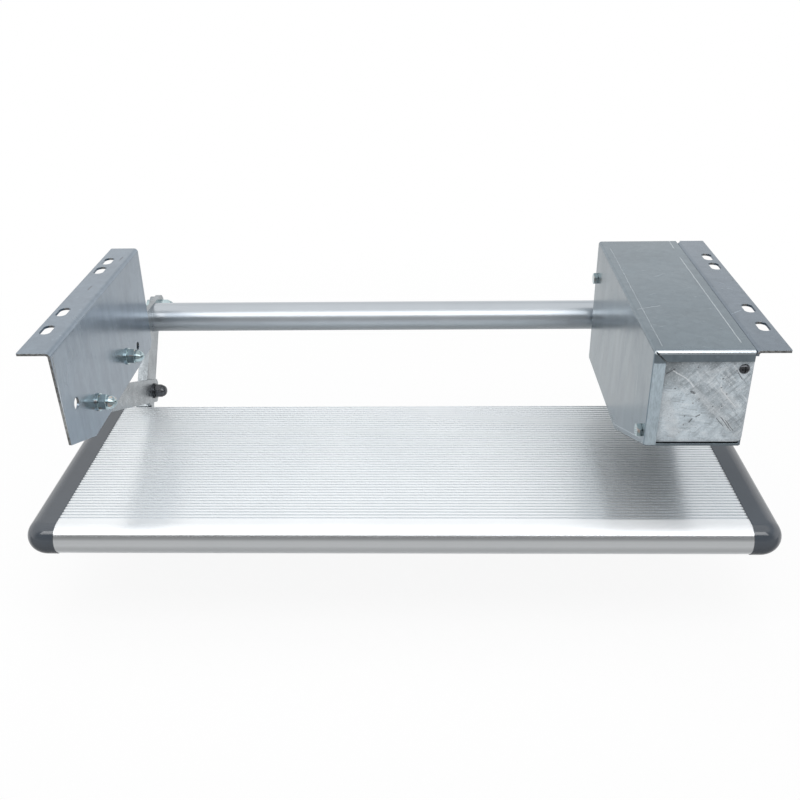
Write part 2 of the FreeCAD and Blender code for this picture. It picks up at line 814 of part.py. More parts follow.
def make_arm():
    heel_x, heel_z, foot_z = arm_heel()
    lip_x = flange_front - tread_rear_back
    neck_x = lip_x - arm_neck_gap
    top = -tread_top_down
    lip_bottom = top - tread_wall - lip_bead_height
    body_x = flange_front - tread_body_rear_back - arm_neck_gap
    under_lip = lip_bottom - arm_neck_gap
    web_corners = [arm_point(pivot_d, -arm_end_overhang, arm_rear_offset) + (arm_end_round,),
                   arm_point(pivot_d, -arm_end_overhang, -arm_end_front) + (arm_end_round,),
                   arm_point(pivot_c, arm_toe_run, -arm_front_offset) + (arm_toe_round,),
                   (neck_x + arm_neck_rise, top + arm_neck_rise, arm_neck_round),
                   (neck_x, top + arm_neck_rise / 2, arm_neck_round),
                   (neck_x, under_lip, arm_neck_round), (body_x, under_lip, arm_neck_round),
                   (body_x, foot_z, 0), (heel_x, foot_z, arm_bend + arm_thick),
                   (heel_x, heel_z, arm_bend + arm_thick)]
    web = slab_y(web_corners, arm_in, arm_out)
    inner_heel_x = heel_x + arm_thick
    inner_foot_z = foot_z + arm_thick
    flange_start = arm_point(pivot_d, arm_flange_start, arm_rear_offset)
    flange_inner = arm_point(pivot_d, arm_flange_start, arm_rear_offset - arm_thick)
    along = arm_frame()[0]
    inner_run = (inner_heel_x - flange_inner[0]) / along[0]
    inner_heel_z = flange_inner[1] + along[1] * inner_run
    toe_x = heel_x + foot_length
    strip = [flange_start + (0,), (heel_x, heel_z, arm_bend + arm_thick),
             (heel_x, foot_z, arm_bend + arm_thick), (toe_x, foot_z, 0), (toe_x, inner_foot_z, 0),
             (inner_heel_x, inner_foot_z, arm_bend), (inner_heel_x, inner_heel_z, arm_bend),
             flange_inner + (0,)]
    flange = slab_y(strip, arm_in, arm_in + arm_flange_reach)
    arm = web.fuse(flange).removeSplitter()
    arm = arm.cut(rod_y(pivot_d, bolt_radius + bush_wall, arm_in - 1, arm_out + 1))
    arm = arm.cut(rod_y(pivot_c, bolt_radius + press_fit, arm_in - 1, arm_out + 1))
    for x in tread_bolt_lines():
        arm = arm.cut(along_z(x, tread_bolt_side(), bolt_radius + fit, foot_z - 1, inner_foot_z + 1))
    return arm


def make_arm_bush():
    return bush(pivot_d, arm_in, arm_out)


def make_arm_pivot_bolt():
    head_at = arm_out + running_gap
    length = head_at - link_in + lock_washer_thick + low_acorn_height - acorn_wall - running_gap
    return hexagon_bolt(pivot_d, head_at, length, bolt_radius)


def make_arm_pivot_lock_washer():
    return ring_y(pivot_d, lock_washer_radius, bolt_radius + fit, link_in - lock_washer_thick, link_in)


def make_arm_pivot_nut():
    return acorn_nut(pivot_d, link_in - lock_washer_thick, low_acorn_height)


def make_link_bolt():
    head_at = arm_out + washer_thick
    return hexagon_bolt(pivot_c, head_at, head_at - arm_in, bolt_radius)


def make_link_bolt_washer():
    return ring_y(pivot_c, washer_radius, bolt_radius + fit, arm_out, arm_out + washer_thick)


def tread_bolt_lines():
    return [flange_front - slot_front_back, flange_front - slot_rear_back]


def tread_bolt_side():
    return arm_in + arm_bolt_in


def tread_outline():
    """Section of the tread with its ribs, nose and rear lip, as a face at Y zero."""
    top = -tread_top_down
    bottom = top - tread_thick
    nose_x = flange_front - tread_nose_back
    round_x = nose_x - tread_radius
    ribs_x = round_x - smooth_length
    rear_x = flange_front - tread_rear_back
    body_x = flange_front - tread_body_rear_back
    count = int((ribs_x - rear_x - groove_width) / rib_pitch)
    points = [V(round_x, 0, top)]
    for index in range(count + 1):
        x = ribs_x - index * rib_pitch
        points.append(V(x, 0, top))
        points.append(V(x - (groove_width - groove_floor) / 2, 0, top - groove_depth))
        points.append(V(x - (groove_width + groove_floor) / 2, 0, top - groove_depth))
        points.append(V(x - groove_width, 0, top))
    points.append(V(rear_x, 0, top))
    points.append(V(rear_x, 0, top - tread_wall - lip_bead_height))
    points.append(V(rear_x + lip_bead, 0, top - tread_wall - lip_bead_height))
    points.append(V(rear_x + lip_bead, 0, top - tread_wall))
    points.append(V(body_x, 0, top - tread_wall))
    points.append(V(body_x, 0, bottom))
    points.append(V(round_x, 0, bottom))
    edges = []
    for start, end in zip(points, points[1:]):
        if start.distanceToPoint(end) > 1e-6:
            edges.append(Part.LineSegment(start, end).toShape())
    nose = V(nose_x, 0, top - tread_radius)
    edges.append(Part.Arc(points[-1], nose, points[0]).toShape())
    return Part.Face(Part.Wire(edges))


def chamber_spans():
    """Back and front ends of the tread's square chambers, as X values."""
    nose_x = flange_front - tread_nose_back
    first = nose_x - tread_radius - tread_web
    tee_half = (nut_flats + tee_flats_gap) / 2 + tread_web
    front_end = flange_front - slot_front_back + tee_half
    spans = []
    pitch = (first - front_end) / front_chambers
    for index in range(front_chambers):
        high = first - index * pitch
        low = high - pitch + (tread_web if index < front_chambers - 1 else 0)
        spans.append((low, high))
    spans.append((flange_front - slot_rear_back + tee_half, flange_front - slot_front_back - tee_half))
    return spans


def chamber(span, shrink, y0, y1):
    top = -tread_top_down - tread_wall - shrink
    bottom = -tread_top_down - tread_thick + tread_wall + shrink
    low, high = span
    corners = [(low + shrink, bottom, chamber_corner), (high - shrink, bottom, chamber_corner),
               (high - shrink, top, chamber_corner), (low + shrink, top, chamber_corner)]
    return slab_y(corners, y0, y1)


def nose_chamber(shrink, y0, y1):
    round_x = flange_front - tread_nose_back - tread_radius
    middle = -tread_top_down - tread_radius
    radius = tread_radius - tread_wall - shrink
    full = rod_y((round_x, middle), radius, y0, y1)
    front_part = block(round_x + shrink, round_x + radius + 1, y0, y1, middle - radius, middle + radius)
    return full.common(front_part)


def make_tread():
    solid = tread_outline().extrude(V(0, 2 * tread_half, 0))
    solid.translate(V(0, -tread_half, 0))
    cutters = [nose_chamber(0, -tread_half - 1, tread_half + 1)]
    for span in chamber_spans():
        cutters.append(chamber(span, 0, -tread_half - 1, tread_half + 1))
    bottom = -tread_top_down - tread_thick
    tee_half = (nut_flats + tee_flats_gap) / 2
    for x in tread_bolt_lines():
        cutters.append(block(x - tee_mouth / 2, x + tee_mouth / 2, -tread_half - 1, tread_half + 1,
                             bottom - 1, bottom + tee_lip + 1))
        cutters.append(block(x - tee_half, x + tee_half, -tread_half - 1, tread_half + 1,
                             bottom + tee_lip, bottom + tee_lip + tee_height))
    return solid.cut(cutters)


def make_end_cap():
    """Right end cap: a rounded rim that follows the tread's nose, with plugs behind it."""
    top = -tread_top_down + cap_proud
    radius = tread_radius + cap_proud
    bottom = top - 2 * radius
    front_x = flange_front - tread_nose_back + cap_proud
    outer_y = tread_half + cap_width
    rear_x = flange_front - tread_rear_back - cap_rear_gap
    turn_x = front_x - cap_plan_radius
    turn_y = outer_y - cap_plan_radius
    flat = cap_plan_radius - radius
    middle = (top + bottom) / 2

    def rim(to_rim):
        """Rounded rim section from the centre of the plan corner outwards."""
        points = [to_rim(0, bottom), to_rim(0, top), to_rim(flat, top), to_rim(flat, bottom)]
        edges = [Part.LineSegment(points[0], points[1]).toShape(),
                 Part.LineSegment(points[1], points[2]).toShape(),
                 Part.Arc(points[2], to_rim(flat + radius, middle), points[3]).toShape(),
                 Part.LineSegment(points[3], points[0]).toShape()]
        return Part.Face(Part.Wire(edges))

    side = rim(lambda out, z: V(turn_x, turn_y + out, z)).extrude(V(rear_x - turn_x, 0, 0))
    front = rim(lambda out, z: V(turn_x + out, tread_half, z)).extrude(V(0, turn_y - tread_half, 0))
    corner = rim(lambda out, z: V(turn_x + out, turn_y, z)).revolve(V(turn_x, turn_y, 0), V(0, 0, 1), 90)
    middle_block = block(rear_x, turn_x, tread_half, turn_y, bottom, top)
    cap = middle_block.fuse([side, front, corner]).removeSplitter()
    plugs = [chamber(span, cap_plug_gap, tread_half - cap_plug_length, tread_half + 1)
             for span in chamber_spans()]
    return cap.fuse(plugs).removeSplitter()


def along_z(place_x, place_y, radius, z0, z1):
    return Part.makeCylinder(radius, z1 - z0, V(place_x, place_y, z0), V(0, 0, 1))


def hexagon_z(x, y, flats, z0, z1):
    upright = hexagon_y((0, 0), flats, 0, z1 - z0)
    upright.rotate(V(0, 0, 0), V(1, 0, 0), 90)
    upright.translate(V(x, y, z0))
    return upright


def on_tread_bolts(make):
    pieces = []
    for x in tread_bolt_lines():
        for side in (-1, 1):
            pieces.append(make(x, side * tread_bolt_side()))
    return pieces


def foot_bottom():
    return -tread_top_down - tread_thick - arm_thick


def make_tread_bolt(x, y):
    seat = -tread_top_down - tread_thick + tee_lip
    head = hexagon_z(x, y, nut_flats, seat, seat + head_height)
    end = foot_bottom() - washer_thick - nut_height - thread_end
    return head.fuse(along_z(x, y, bolt_radius, end, seat + 1)).removeSplitter()


def make_tread_washer(x, y):
    z = foot_bottom()
    ring = along_z(x, y, washer_radius, z - washer_thick, z)
    return ring.cut(along_z(x, y, bolt_radius + fit, z - washer_thick, z))


def make_tread_nut(x, y):
    z = foot_bottom() - washer_thick
    nut = hexagon_z(x, y, nut_flats, z - nut_height, z)
    return nut.cut(along_z(x, y, bolt_radius + fit, z - nut_height, z))


def both_sides(shape):
    return [other_side(shape), shape]


def shifted(shape):
    """The tread and its caps sit a little left of the middle on the arms' feet."""
    shape.translate(V(0, -tread_shift, 0))
    return shape


def save(name, pieces):
    """Write one node, a single piece or a group of like pieces."""
    if not isinstance(pieces, list):
        pieces = [pieces]
    solids = []
    for piece in pieces:
        solids.extend(piece.Solids)
    shape = solids[0] if len(solids) == 1 else Part.makeCompound(solids)
    shape.exportStep("parts/" + name + ".step")


os.makedirs("parts", exist_ok=True)

save("left_bracket", make_left_bracket())
save("right_bracket", make_right_bracket())
save("motor_cover", make_motor_cover())
save("cover_screws", make_cover_screws())
save("panel_screw", make_panel_screw())
save("gearbox_housing", make_gearbox_housing())
save("motor_can", make_motor_can())
save("gearbox_screws", [countersink(place, 0) for place in gearbox_screw_places()])
save("cable_grommet", make_cable_grommet())
save("pivot_bolts", on_pivots(make_pivot_bolt))
save("pivot_head_washers", on_pivots(make_pivot_head_washer))
save("pivot_spacers", on_pivots(make_pivot_spacer) + [make_shaft_spacer()])
save("pivot_washers", on_pivots(make_pivot_washer))
save("pivot_acorn_nuts", on_pivots(make_pivot_acorn))

save("left_rear_link", make_left_rear_link())
save("right_rear_link", make_right_rear_link())
save("crossbar", make_crossbar())
save("rear_link_bush", other_side(bush(pivot_a, link_in, link_out)))
save("output_shaft", make_output_shaft())
save("shaft_washer", make_shaft_washer())
save("shaft_nut", make_shaft_nut())
save("arm_pivot_bolts", both_sides(make_arm_pivot_bolt()))
save("arm_pivot_lock_washers", both_sides(make_arm_pivot_lock_washer()))
save("arm_pivot_nuts", both_sides(make_arm_pivot_nut()))

for side_name, place_side in (("left", other_side), ("right", lambda shape: shape)):
    save(side_name + "_front_link", place_side(make_front_link()))
    save(side_name + "_link_bush", place_side(make_link_bush()))
    save(side_name + "_link_stud", place_side(make_link_stud()))
    save(side_name + "_link_washer", place_side(make_link_washer()))
    save(side_name + "_link_acorn_nut", place_side(make_link_acorn()))
    save(side_name + "_arm", place_side(make_arm()))
    save(side_name + "_end_cap", shifted(place_side(make_end_cap())))

save("arm_bushes", both_sides(make_arm_bush()))
save("link_bolts", both_sides(make_link_bolt()))
save("link_bolt_washers", both_sides(make_link_bolt_washer()))
save("tread", shifted(make_tread()))
save("tread_bolts", on_tread_bolts(make_tread_bolt))
save("tread_washers", on_tread_bolts(make_tread_washer))
save("tread_nuts", on_tread_bolts(make_tread_nut))
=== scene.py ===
import json
import math

import bpy
from mathutils import Matrix, Vector


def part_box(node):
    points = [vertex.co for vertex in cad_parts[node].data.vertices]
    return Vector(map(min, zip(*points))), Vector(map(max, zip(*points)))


# An entry step with galvanised brackets and cover, a ribbed aluminium tread and grey end caps.
# X points forward out of the doorway, Y to the right, Z up, in metres.

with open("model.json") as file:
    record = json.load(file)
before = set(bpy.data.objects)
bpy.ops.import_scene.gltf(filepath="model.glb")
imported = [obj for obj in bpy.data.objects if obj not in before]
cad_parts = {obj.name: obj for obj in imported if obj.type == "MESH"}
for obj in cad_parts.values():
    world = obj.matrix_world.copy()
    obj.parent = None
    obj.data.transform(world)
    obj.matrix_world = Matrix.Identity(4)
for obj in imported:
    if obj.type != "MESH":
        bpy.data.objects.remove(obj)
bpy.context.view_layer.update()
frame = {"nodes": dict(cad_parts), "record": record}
nodes = frame["nodes"]

MILLIMETRE = 0.001

# Camera, solved from the object's corners
CAMERA_PLACE = Vector((0.7578, 0.0206, 0.2956))
CAMERA_PITCH = math.radians(27.99)
CAMERA_YAW = math.radians(1.89)
CAMERA_ROLL = math.radians(1.05)
CAMERA_SENSOR = 36.0
CAMERA_LENS = 42.0
CAMERA_REACH = 50.0

# Places on the object at rest, from the frame
BRACKET_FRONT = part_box("right_bracket")[1].x
PLATE_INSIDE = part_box("left_bracket")[1].y
COVER_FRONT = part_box("motor_cover")[1].x
COVER_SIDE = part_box("motor_cover")[0].y
BAR_MIDDLE = (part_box("crossbar")[0].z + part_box("crossbar")[1].z) / 2
TREAD_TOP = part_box("tread")[1].z
LOWEST = min(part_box(name)[0].z for name in nodes)

PANEL_X = BRACKET_FRONT - 0.0035
RIBS_END = 0.0930

# The panel's looks are parted by a line that falls to the right by this share of its run
PANEL_SLOPE = 0.86

# Soft masks, each a pair: the mask is 0 at the first place and 1 at the second.
# The facing ones are shares of a face's normal along an axis.
TOP_FACES_Z = (-0.00110, -0.00044)
PANEL_FROM_BEHIND_X = (PANEL_X - 0.0012, PANEL_X - 0.0007)
PANEL_FROM_AHEAD_X = (PANEL_X + 0.0012, PANEL_X + 0.0007)
PANEL_TOP_Z = (-0.0035, -0.0040)
PANEL_LOWER_LEFT = (0.153, 0.147)
PANEL_UPPER_RIGHT = (0.147, 0.153)
PANEL_CORNER_Y = (0.232, 0.203)
PANEL_CORNER_Z = (-0.040, -0.014)
PANEL_LOW_EDGE_Z = (-0.0765, -0.0800)
RIGHT_BRACKET_Y = (0.0, 0.1)
PLATE_Y = (PLATE_INSIDE + 0.0025, PLATE_INSIDE + 0.0005)
CUT_ENDS_Y = (0.19, 0.15)
CUT_ENDS_Z = (-0.0030, -0.0026)
CUT_FACING = (0.85, 0.95)
UPRIGHT_FACING = (0.5, 0.3)
# Faces that look down, for painted shade on the cover
UNDERSIDE_SHADE_FACING = (-0.25, -0.35)
COVER_SIDE_Y = (COVER_SIDE + 0.0020, COVER_SIDE + 0.0010)
COVER_LIP_X = (COVER_FRONT - 0.0015, COVER_FRONT - 0.0007)
COVER_LIP_TOP_Z = (-0.0110, -0.0095)
COVER_LIP_SIDE_Z = (-0.0095, -0.0110)
COVER_FOLD_X = (COVER_FRONT - 0.0024, COVER_FRONT - 0.0016)
COVER_FOLD_Z = (-0.0032, -0.0026)
BAR_UNDER_Z = (BAR_MIDDLE + 0.002, BAR_MIDDLE - 0.006)
TREAD_RIBS_X = (RIBS_END + 0.0030, RIBS_END)
TREAD_TOP_Z = (TREAD_TOP - 0.0050, TREAD_TOP - 0.0018)
GROOVES_X = (RIBS_END, RIBS_END - 0.0005)
GROOVES_BELOW_Z = (TREAD_TOP - 0.0001, TREAD_TOP - 0.0004)
GROOVES_ABOVE_Z = (TREAD_TOP - 0.0018, TREAD_TOP - 0.0015)
TREAD_RIGHT_Y = (0.02, 0.22)

# Colours of metal and plastic
ZINC = (0.345, 0.408, 0.475)
ZINC_DARK = (0.235, 0.278, 0.325)
COVER_ZINC = (0.285, 0.345, 0.385)
COVER_ZINC_DARK = (0.185, 0.225, 0.255)
BAR_ZINC = [(0.3, (0.53, 0.575, 0.62)), (0.7, (0.57, 0.615, 0.66))]
# Painted shade for the tube's lower half
BAR_UNDER_SHADE = (0.30, 0.33, 0.35)
ALLOY = [(0.3, (0.90, 0.93, 0.955)), (0.7, (0.94, 0.965, 0.985))]
# Painted shade for the grooves between the ribs
GROOVE_SHADE = (0.64, 0.69, 0.73)
LINK_STEEL = (0.42, 0.455, 0.48)
SHAFT_STEEL = (0.45, 0.46, 0.47)
GEARBOX_ALLOY = (0.48, 0.49, 0.50)
BUSH_BRASS = (0.60, 0.45, 0.22)
BRIGHT_ZINC = (0.60, 0.73, 0.76)
DARK_ZINC = (0.12, 0.125, 0.135)
WARM_FILM = (0.62, 0.40, 0.30)
CAP_GREY = (0.058, 0.071, 0.089)
MOTOR_BLACK = (0.02, 0.02, 0.022)
RUBBER_BLACK = (0.02, 0.02, 0.02)
BLACK = (0.0, 0.0, 0.0)

# Colours of the oxidised front panel
PANEL_GREYS = [(0.36, (0.33, 0.375, 0.41)), (0.50, (0.57, 0.645, 0.70)), (0.64, (0.78, 0.85, 0.90))]
PANEL_PALE = (0.66, 0.75, 0.81)
PANEL_DULL = (0.36, 0.40, 0.43)
HATCH_PALE = (0.86, 0.90, 0.93)
HATCH_DARK = (0.19, 0.215, 0.235)
BLOTCH_DARK = (0.24, 0.265, 0.285)
# Painted shade for the panel's upper left corner
CORNER_SHADE = (0.21, 0.235, 0.25)
BAND_PALE = (0.64, 0.68, 0.71)
SCRATCH_PALE = (0.86, 0.88, 0.90)
SCRATCH_DARK = (0.08, 0.088, 0.095)
LOW_EDGE_DARK = (0.18, 0.195, 0.205)
CRUMB_PALE = (0.92, 0.96, 1.0)
CRUMB_DARK = (0.16, 0.18, 0.195)

# Colours of marks and edges on the other sheet
SPECK_DARK = (0.10, 0.105, 0.11)
CUT_DARK = (0.17, 0.165, 0.155)
CUT_PALE = (0.36, 0.36, 0.35)
SCORE_PALE = (0.62, 0.68, 0.72)
LIP_GREYS = [(0.34, (0.35, 0.42, 0.47)), (0.58, (0.50, 0.59, 0.65))]
# Painted highlight for the cover's front fold
FOLD_HIGHLIGHT = (0.66, 0.72, 0.76)

# Marks seen in the photograph, as runs of places with a width, in millimetres.
# Panel marks lie across and up, top marks forward and across, side marks forward and up.
PANEL_BRIGHT = [([(205.5, -17.7), (211, -21), (216, -24), (220, -28), (223, -32)], 0.9),
                ([(243, -29), (244, -34.5), (256.5, -49)], 0.8)]
PANEL_BAND = [([(224.5, -35), (240, -51.5), (247, -57.5), (255, -68)], 5.0),
              ([(243.6, -34), (257, -49)], 4.0),
              ([(201, -40), (213, -72)], 9.0),
              ([(232, -20), (246, -16)], 3.0)]
PANEL_DARK = [([(201, -20.5), (207, -16.5)], 0.9), ([(228, -57.5), (230.5, -56)], 0.9),
              ([(223, -62.5), (225, -59.5)], 0.9), ([(221.5, -36), (224, -37)], 1.8),
              ([(253, -17.5), (258.5, -25.5)], 0.6), ([(244, -59), (250, -66)], 0.5),
              ([(247, -58), (256, -70)], 0.5), ([(251, -61), (258, -70)], 0.5)]
PANEL_DOTS = [([(244, -25)], 1.3), ([(243.7, -32.5)], 1.1), ([(248.5, -38)], 1.0),
              ([(246.5, -48.5)], 1.2), ([(239.5, -48.5)], 1.0), ([(224, -46)], 1.2),
              ([(228.5, -42)], 1.0), ([(209, -33)], 1.2), ([(224, -15.3)], 1.1),
              ([(249.5, -20)], 0.9), ([(219, -57)], 1.1), ([(219, -65)], 1.0)]
TOP_BRIGHT = [([(-127, 257.6), (-106, 257.3)], 0.8), ([(-80, 256.8), (111, 257)], 0.75),
              ([(-106, 197), (117, 196.8)], 0.38), ([(45, 192.5), (37.5, 212.5)], 0.5),
              ([(56, 265.4), (48, 275.7)], 0.6)]
TOP_DARK = [([(93.4, 211.7)], 1.2), ([(-20, 288.2)], 1.0), ([(-32.6, 288.5)], 1.0),
            ([(-5.4, 267.4)], 1.1), ([(53, 268.2)], 1.0), ([(-6, -277.5), (-15.5, -277.2)], 0.9),
            ([(-84, -272), (-92.5, -271.5)], 0.9)]
PLATE_DARK = [([(-97, -18.2)], 1.6)]
COVER_BRIGHT = [([(26.3, -31), (26.2, -42)], 0.7), ([(14.4, -124.5), (113, -82)], 0.7),
                ([(-60, -45), (-52, -78)], 0.6), ([(78, -26), (84, -60)], 0.6)]
COVER_DARK = [([(60, -55)], 1.2), ([(-20, -70)], 1.2)]
WAVER_SCALE = 160.0
WAVER_REACH = 0.0012

# Floor, just below the place that the step reaches when it is out.
# Its greys fall on the object and show in the metal, while the camera sees white.
FLOOR_SIZE = 6.0
FLOOR_GAP = 0.0003
STEP_DROP = 0.0848
FLOOR_NEAR = 0.90
FLOOR_FRONT = 0.40
FLOOR_FAR = 0.54
FLOOR_FRONT_X = (0.02, 0.14)
FLOOR_FAR_X = (0.17, 0.32)
FLOOR_WHITE_CAMERA = 0.88
FLOOR_WHITE_GLOSSY = 0.20
FLOOR_SHADOW_REACH = (0.45, 1.1)

# Surroundings, where a place is a direction's share along an axis, from -1 to 1
WHITE = 1.0
ROOM_DIFFUSE = 0.68
FRONT_WALL_X = (0.05, 0.50)
FRONT_WALL_Z = (0.86, 0.78)
FRONT_WALL_GREYS = [(0.0, 0.52), (0.30, 0.26), (0.60, 0.18)]
BACK_WALL_GREYS = [(0.0, 1.0), (0.5, 0.88), (0.70, 0.88), (0.80, 1.0)]
SIDE_WALL = (0.50, 0.54, 0.58)
SIDE_WALL_Y = (0.10, 0.26)
SIDE_WALL_LOW_Z = (0.42, 0.52)
SIDE_WALL_HIGH_Z = (0.80, 0.70)

LAMPS = {
    "key": dict(spot=(0.10, -0.1, 1.5), target=(0.0, 0.0, -0.12), size=(1.6, 1.0), level=1.3,
                mirrored=False),
    "front": dict(spot=(0.35, 0.0, 0.385), target=(-0.10, 0.0, 0.365), size=(1.3, 0.48), level=2.3,
                  mirrored=True),
}


def new_material(name):
    """Material with its node tree and its principled shader."""
    material = bpy.data.materials.new(name)
    material.use_nodes = True
    tree = material.node_tree
    return material, tree, tree.nodes["Principled BSDF"]


def link(tree, source, target):
    """Join an output to an input."""
    tree.links.new(source, target)


def plug(tree, value, socket):
    """Link a socket, or set a number or colour. A colour socket takes one number as a grey."""
    if isinstance(value, bpy.types.NodeSocket):
        link(tree, value, socket)
        return
    if socket.type == "RGBA":
        if not isinstance(value, tuple):
            value = (value, value, value)
        value = value + (1.0,)
    socket.default_value = value


def place(tree, scale=(1.0, 1.0, 1.0), turn=(0.0, 0.0, 0.0)):
    """Object coordinates, first turned and then scaled, for a pattern."""
    coords = tree.nodes.new("ShaderNodeTexCoord")
    mapping = tree.nodes.new("ShaderNodeMapping")
    mapping.vector_type = "TEXTURE"
    mapping.inputs["Scale"].default_value = tuple(1 / axis for axis in scale)
    mapping.inputs["Rotation"].default_value = turn
    link(tree, coords.outputs["Object"], mapping.inputs["Vector"])
    return mapping.outputs["Vector"]


def axes(tree, vector):
    """The three numbers of a vector."""
    node = tree.nodes.new("ShaderNodeSeparateXYZ")
    link(tree, vector, node.inputs[0])
    return node.outputs["X"], node.outputs["Y"], node.outputs["Z"]


def calc(tree, how, first, second=0.0, clamp=False):
    """Result of a sum on numbers."""
    node = tree.nodes.new("ShaderNodeMath")
    node.operation = how
    node.use_clamp = clamp
    plug(tree, first, node.inputs[0])
    plug(tree, second, node.inputs[1])
    return node.outputs[0]


def vector_calc(tree, how, first, second=(0.0, 0.0, 0.0)):
    """Node of a sum on vectors. Its result is the vector or the number among its outputs."""
    node = tree.nodes.new("ShaderNodeVectorMath")
    node.operation = how
    plug(tree, first, node.inputs[0])
    plug(tree, second, node.inputs[1])
    return node


def rise(tree, value, zero_at, one_at):
    """Mask with a soft run from 0 to 1, also where its second place is the smaller."""
    node = tree.nodes.new("ShaderNodeMapRange")
    node.interpolation_type = "SMOOTHSTEP"
    node.inputs["From Min"].default_value = zero_at
    node.inputs["From Max"].default_value = one_at
    link(tree, value, node.inputs["Value"])
    return node.outputs["Result"]


def both(tree, *masks):
    """Product of several masks."""
    result = masks[0]
    for mask in masks[1:]:
        result = calc(tree, "MULTIPLY", result, mask)
    return result


def either(tree, *masks):
    """Largest of several masks."""
    result = masks[0]
    for mask in masks[1:]:
        result = calc(tree, "MAXIMUM", result, mask)
    return result


def noise(tree, vector, scale, detail=4.0, rough=0.5, distortion=0.0):
    """Soft clouds from 0 to 1."""
    node = tree.nodes.new("ShaderNodeTexNoise")
    node.inputs["Scale"].default_value = scale
    node.inputs["Detail"].default_value = detail
    node.inputs["Roughness"].default_value = rough
    node.inputs["Distortion"].default_value = distortion
    link(tree, vector, node.inputs["Vector"])
    return node.outputs["Fac"]


def ramp(tree, value, stops):
    """Colour ramp through (place, colour) stops, where a colour may be one number."""
    node = tree.nodes.new("ShaderNodeValToRGB")
    elements = node.color_ramp.elements
    while len(elements) < len(stops):
        elements.new(0.5)
    for element, (position, colour) in zip(elements, stops):
        element.position = position
        if not isinstance(colour, tuple):
            colour = (colour, colour, colour)
        element.color = colour + (1.0,)
    link(tree, value, node.inputs["Fac"])
    return node.outputs["Color"]


def grey(tree, colour):
    """A colour as one number."""
    node = tree.nodes.new("ShaderNodeRGBToBW")
    link(tree, colour, node.inputs["Color"])
    return node.outputs["Val"]


def spangle(tree, vector, scale):
    """Flat crystals of zinc, each of its own shade from 0 to 1."""
    node = tree.nodes.new("ShaderNodeTexVoronoi")
    node.inputs["Scale"].default_value = scale
    link(tree, vector, node.inputs["Vector"])
    return grey(tree, node.outputs["Color"])


def mix(tree, first, second, amount):
    """Mix two colours or sockets by a number or a socket."""
    node = tree.nodes.new("ShaderNodeMix")
    node.data_type = "RGBA"
    plug(tree, first, node.inputs[6])
    plug(tree, second, node.inputs[7])
    plug(tree, amount, node.inputs[0])
    return node.outputs[2]


def paint(tree, under, colour, *masks):
    """Lay a colour over another where all masks are 1. A mask may be a plain strength."""
    return mix(tree, under, colour, both(tree, *masks))


def bump(tree, height, strength, distance, normal=None):
    """Normal that follows a height, over another normal if there is one."""
    node = tree.nodes.new("ShaderNodeBump")
    node.inputs["Strength"].default_value = strength
    node.inputs["Distance"].default_value = distance
    link(tree, height, node.inputs["Height"])
    if normal is not None:
        link(tree, normal, node.inputs["Normal"])
    return node.outputs["Normal"]


def soft_edges(tree, radius):
    """Normal that rounds sharp edges a little, so that they catch the light."""
    node = tree.nodes.new("ShaderNodeBevel")
    node.samples = 4
    node.inputs["Radius"].default_value = radius
    return node.outputs["Normal"]


def pick(tree, amount, first, second):
    """Shader that is the first at 0 and the second at 1."""
    node = tree.nodes.new("ShaderNodeMixShader")
    for source, target in zip((amount, first, second), node.inputs):
        link(tree, source, target)
    return node.outputs[0]


def fine_lines(tree, turn, seed):
    """Thin scratches mostly along one direction, 1 on a line and 0 elsewhere."""
    vector = place(tree, scale=(14.0, 260.0, 260.0), turn=turn)
    shifted = vector_calc(tree, "ADD", vector, (seed, seed * 0.7, seed * 1.3)).outputs[0]
    lines = noise(tree, shifted, scale=1.0, detail=2.0, rough=0.4, distortion=0.3)
    return grey(tree, ramp(tree, lines, [(0.71, 0.0), (0.75, 1.0)]))


def flat_point(tree, first, second):
    """Point of a plane from two coordinates."""
    node = tree.nodes.new("ShaderNodeCombineXYZ")
    link(tree, first, node.inputs[0])
    link(tree, second, node.inputs[1])
    return node.outputs[0]


def plane_point(tree, first, second):
    """Point of a plane, made a little uneven so that strokes waver."""
    point = flat_point(tree, first, second)
    waver = calc(tree, "SUBTRACT", noise(tree, point, scale=WAVER_SCALE, detail=2.0), 0.5)
    shake = calc(tree, "MULTIPLY", waver, WAVER_REACH)
    return vector_calc(tree, "ADD", point, flat_point(tree, shake, shake)).outputs[0]


def stroke(tree, point, start, end, width):
    """1 on a straight mark between two places of a plane, in millimetres, and 0 away from it."""
    begin = Vector((start[0], start[1], 0.0)) * MILLIMETRE
    run = Vector((end[0], end[1], 0.0)) * MILLIMETRE - begin
    half_width = width * MILLIMETRE / 2
    away = vector_calc(tree, "SUBTRACT", point, tuple(begin)).outputs[0]
    if run.length > 0:
        along = vector_calc(tree, "DOT_PRODUCT", away, tuple(run)).outputs["Value"]
        share = calc(tree, "MULTIPLY", along, 1 / run.length_squared, clamp=True)
        nearest = vector_calc(tree, "SCALE", tuple(run))
        link(tree, share, nearest.inputs["Scale"])
        away = vector_calc(tree, "SUBTRACT", away, nearest.outputs[0]).outputs[0]
    distance = vector_calc(tree, "LENGTH", away).outputs["Value"]
    return rise(tree, distance, half_width * 1.5, half_width * 0.5)


def strokes(tree, point, marks):
    """Largest of many strokes, each given as a run of places and a width."""
    masks = []
    for places, width in marks:
        ends = places[1:] if len(places) > 1 else places
        for start, end in zip(places, ends):
            masks.append(stroke(tree, point, start, end, width))
    return either(tree, *masks)


def brighter(colour):
    """The bare metal that shows in a scratch."""
    return tuple(min(1.0, channel * 1.35) for channel in colour)


